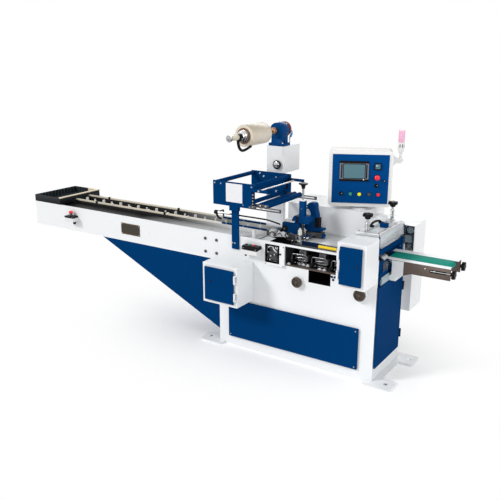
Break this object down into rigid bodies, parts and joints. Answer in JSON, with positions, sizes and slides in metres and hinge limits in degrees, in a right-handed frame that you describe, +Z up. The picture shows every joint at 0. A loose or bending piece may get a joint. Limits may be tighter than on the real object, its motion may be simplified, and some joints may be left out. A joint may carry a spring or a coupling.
{
  "type": "horizontal flow wrapper",
  "caption": "Horizontal flow wrapping machine with a long lug-chain infeed, film unwind and frame, former, sealing jaws, swivel operator panel and short outfeed belt.",
  "frame": {"origin": "middle of the body's base plate, on the floor", "axes": "+X along the product line to the outfeed end, +Y to the machine's rear, +Z up"},
  "size_m": [3.84, 1.089, 1.701],
  "materials": {
    "white_paint": "gloss powder coat",
    "blue_paint": "gloss powder coat",
    "grey_paint": "satin powder coat",
    "black_paint": "satin",
    "black_plastic": "moulded",
    "steel": "brushed",
    "guide_steel": "brushed",
    "dark_steel": "oiled",
    "chrome": "polished",
    "lug_plastic": "moulded",
    "green_belt": "satin",
    "film": "satin wound film",
    "red_plastic": "moulded",
    "red_lens": "translucent",
    "clear_sheet": "polished clear",
    "bronze": "knurled",
    "red_band": "woven"
  },
  "bodies": {
    "machine": {"base_plate": "white_paint", "front_plate": "white_paint", "rear_plate": "white_paint", "end_plates": "white_paint", "lower_panels": "blue_paint", "door_hinges": "black_paint", "box_hinges": "white_paint", "control_box": "white_paint", "jaw_guard": "white_paint", "infeed_side_plates": "white_paint", "infeed_floor": "white_paint", "infeed_deck": "black_paint", "product_guides": "guide_steel", "guide_bars": "black_paint", "infeed_chain": "dark_steel", "chain_lugs": "lug_plastic", "conveyor_rollers": "steel", "infeed_gusset": "blue_paint", "end_tray": "black_plastic", "button_stations": "grey_paint", "station_buttons": "red_plastic", "film_frame": "blue_paint", "film_tubes": "blue_paint", "roller_arms": "steel", "guide_rollers": "blue_paint", "reel_column": "white_paint", "bearing_head": "blue_paint", "brake_band": "red_band", "rear_cabinet": "white_paint", "drive_housing": "white_paint", "jaw_frame": "blue_paint", "seal_jaws": "dark_steel", "clear_guard": "clear_sheet", "adjuster_knobs": "black_plastic", "bed_plate": "steel", "inner_panels": "black_paint", "fin_seal_units": "dark_steel", "window_cover": "white_paint", "film_former": "steel", "coder_unit": "blue_paint", "outfeed_frame": "steel", "outfeed_belt": "green_belt"},
    "end_door": {"end_door": "blue_paint"},
    "control_box_door": {"control_box_door": "blue_paint"},
    "jaw_guard_door": {"jaw_guard_door": "blue_paint"},
    "reel": {"reel_shaft": "chrome", "film_roll": "film", "reel_lever": "black_plastic"},
    "tension_knob": {"tension_knob": "chrome"},
    "operator_panel": {"hmi_box": "grey_paint", "hmi_panel": "blue_paint", "hmi_controls": "black_plastic"},
    "signal_light": {"signal_base": "grey_paint", "signal_lens": "red_lens"},
    "handwheel_left": {"handwheel_left": "bronze"},
    "handwheel_right": {"handwheel_right": "bronze"}
  },
  "joints": [
    {"name": "end_door_hinge", "type": "hinge", "parent": "machine", "child": "end_door", "pos_m": [0.66, 0.214, 0.4], "axis": [0, 0, 1], "range_deg": [0, 90]},
    {"name": "control_box_hinge", "type": "hinge", "parent": "machine", "child": "control_box_door", "pos_m": [-0.347, -0.471, 0.56], "axis": [0, 0, 1], "range_deg": [0, 120]},
    {"name": "jaw_guard_hinge", "type": "hinge", "parent": "machine", "child": "jaw_guard_door", "pos_m": [0.455, -0.459, 0.88], "axis": [0, 0, -1], "range_deg": [0, 110]},
    {"name": "reel_spin", "type": "hinge", "parent": "machine", "child": "reel", "pos_m": [-0.4615, 0, 1.622], "axis": [0, 1, 0], "continuous": true},
    {"name": "tension_knob_turn", "type": "hinge", "parent": "machine", "child": "tension_knob", "pos_m": [-0.44, 0.25, 1.358], "axis": [0, 1, 0], "continuous": true},
    {"name": "panel_swivel", "type": "hinge", "parent": "machine", "child": "operator_panel", "pos_m": [0.223, 0.36, 1.1], "axis": [0, 0, 1], "range_deg": [-24.4, 20]},
    {"name": "signal_fold", "type": "hinge", "parent": "operator_panel", "child": "signal_light", "pos_m": [0.49667, 0.43692, 1.45], "axis": [-0.4131, 0.9107, 0], "range_deg": [0, 90]},
    {"name": "handwheel_left_turn", "type": "hinge", "parent": "machine", "child": "handwheel_left", "pos_m": [0.04908, -0.26, 0.632], "axis": [0, 1, 0], "continuous": true},
    {"name": "handwheel_right_turn", "type": "hinge", "parent": "machine", "child": "handwheel_right", "pos_m": [0.532, -0.26, 0.632], "axis": [0, 1, 0], "continuous": true}
  ]
}
